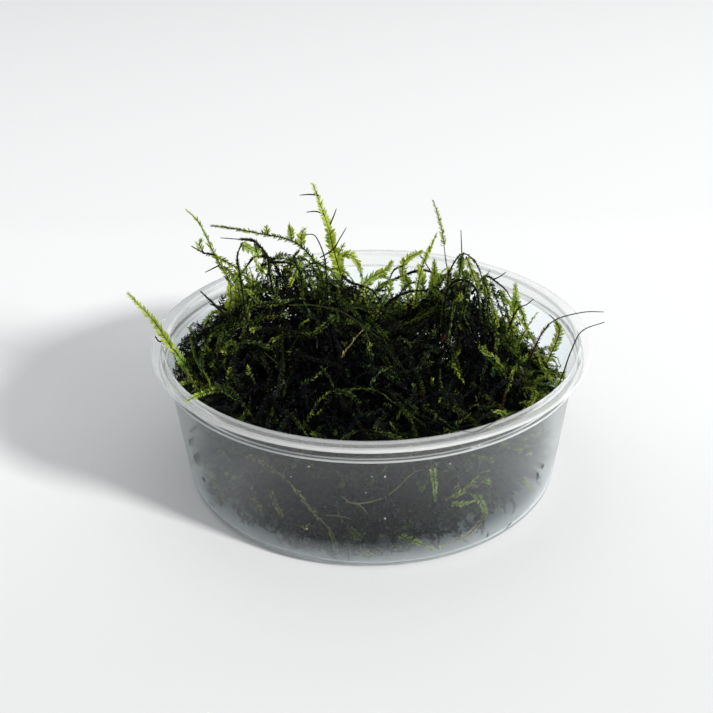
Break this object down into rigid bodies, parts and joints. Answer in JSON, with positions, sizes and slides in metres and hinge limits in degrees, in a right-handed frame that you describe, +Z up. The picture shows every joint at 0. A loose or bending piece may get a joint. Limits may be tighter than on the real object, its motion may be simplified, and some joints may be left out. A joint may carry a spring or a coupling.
{
  "type": "moss clump",
  "caption": "Tangled clump of java moss with leafy shoots and bare stems, standing in a shallow round clear plastic tub with a flanged rim.",
  "frame": {"origin": "centre of the tub's flat underside", "axes": "+Z up out of the tub's mouth; +X right and -Y towards someone looking at the front, where the clump leans over the rim on both sides"},
  "size_m": [0.124, 0.117, 0.0791],
  "materials": {
    "tub": "clear, slightly milky moulded polypropylene, glossy",
    "moss_tangle": "dense damp tangle of fine leafy strands, nearly black in its depth",
    "green_shoot": "small overlapping translucent yellow-green leaves on a thin stem",
    "bare_stem": "thin dark brown leafless stem, matt"
  },
  "bodies": {
    "root": {"tub": "tub", "moss_tangle": "moss_tangle", "tall_shoot": "green_shoot", "drooping_shoot": "green_shoot", "left_high_shoot": "green_shoot", "left_inner_shoot": "green_shoot", "left_stub_upper": "green_shoot", "left_stub_lower": "green_shoot", "rim_shoot_left": "green_shoot", "front_left_sprig": "green_shoot", "left_upright_tip": "green_shoot", "middle_rise": "green_shoot", "middle_arch": "green_shoot", "slender_shoot": "green_shoot", "tall_right_shoot": "green_shoot", "crown_arch": "green_shoot", "dark_arch": "green_shoot", "shoulder_arch": "green_shoot", "right_sprig": "green_shoot", "right_small_sprig": "green_shoot", "right_arch": "green_shoot", "back_shoot": "green_shoot", "back_left_sprig": "green_shoot", "back_right_sprig": "green_shoot", "left_runner": "bare_stem", "left_arch": "bare_stem", "thread_by_tall_shoot": "bare_stem", "middle_twig": "bare_stem", "crown_twig": "bare_stem", "right_twig": "bare_stem", "right_stem_upper": "bare_stem", "right_stem_lower": "bare_stem", "front_right_twig": "bare_stem"}
  },
  "joints": []
}
